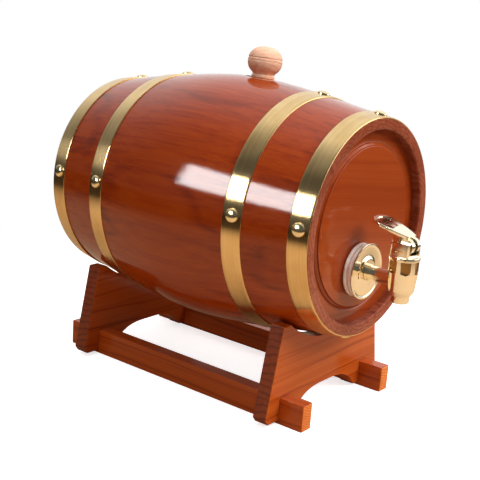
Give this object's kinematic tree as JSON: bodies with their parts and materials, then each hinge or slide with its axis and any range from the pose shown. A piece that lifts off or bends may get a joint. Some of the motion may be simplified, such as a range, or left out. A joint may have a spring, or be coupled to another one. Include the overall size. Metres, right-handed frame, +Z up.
{
  "type": "wine barrel",
  "caption": "Small varnished oak wine barrel with brass hoops, ball bung and lever tap, lying in a two-panel cradle on rails.",
  "frame": {"origin": "floor level under the middle of the overall length, on the barrel's upright middle plane", "axes": "+Z up, +Y along the barrel from the tap end to the rear end, +X to the right when the tap is seen from the front"},
  "size_m": [0.2144, 0.3287, 0.2922],
  "materials": {
    "shell_wood": "gloss",
    "head_wood": "gloss",
    "stand_wood": "gloss",
    "bung_wood": "satin",
    "hoop_brass": "satin",
    "nail_brass": "polished",
    "tap_gold": "polished",
    "tap_brass": "satin",
    "tap_steel": "satin",
    "clear_gasket": "gloss",
    "seal_rubber": "matte"
  },
  "bodies": {
    "stand": {"stand_panel_front": "stand_wood", "stand_panel_rear": "stand_wood", "rail_left": "stand_wood", "rail_right": "stand_wood"},
    "barrel": {"stave_01": "shell_wood", "stave_02": "shell_wood", "stave_03": "shell_wood", "stave_04": "shell_wood", "stave_05": "shell_wood", "stave_06": "shell_wood", "stave_07": "shell_wood", "stave_08": "shell_wood", "stave_09": "shell_wood", "stave_10": "shell_wood", "stave_11": "shell_wood", "stave_12": "shell_wood", "stave_13": "shell_wood", "stave_14": "shell_wood", "stave_15": "shell_wood", "stave_16": "shell_wood", "front_head": "head_wood", "rear_head": "head_wood", "hoop_front_outer": "hoop_brass", "hoop_front_inner": "hoop_brass", "hoop_rear_inner": "hoop_brass", "hoop_rear_outer": "hoop_brass", "nails_front_outer": "nail_brass", "nails_front_inner": "nail_brass", "nails_rear_inner": "nail_brass", "nails_rear_outer": "nail_brass", "tap_body": "tap_gold", "tap_bonnet": "tap_gold", "tap_flange": "tap_gold", "tap_gasket_outer": "clear_gasket", "tap_gasket_inner": "seal_rubber", "tap_back_nut": "tap_brass"},
    "bung": {"bung": "bung_wood"},
    "lever": {"tap_lever": "tap_gold", "lever_pin": "tap_steel"},
    "stem": {"valve_stem": "tap_steel", "valve_seal": "seal_rubber", "stem_o_ring": "seal_rubber", "return_spring": "tap_steel"}
  },
  "joints": [
    {"name": "barrel_lift", "type": "slide", "parent": "stand", "child": "barrel", "axis": [0, 0, 1], "range_m": [0, 0.15]},
    {"name": "bung_pull", "type": "slide", "parent": "barrel", "child": "bung", "axis": [0.1167, 0, 0.9932], "range_m": [0, 0.04]},
    {"name": "lever_turn", "type": "hinge", "parent": "barrel", "child": "lever", "pos_m": [-0.0071, -0.15505, 0.1549], "axis": [1, 0, 0], "range_deg": [0, 75]},
    {"name": "stem_lift", "type": "slide", "parent": "barrel", "child": "stem", "axis": [0, 0, 1], "range_m": [0, 0.004], "deforming": ["return_spring"]}
  ],
  "couplings": [
    {"joint": "stem_lift", "follows": "lever_turn", "m_per_rad": 0.003}
  ]
}
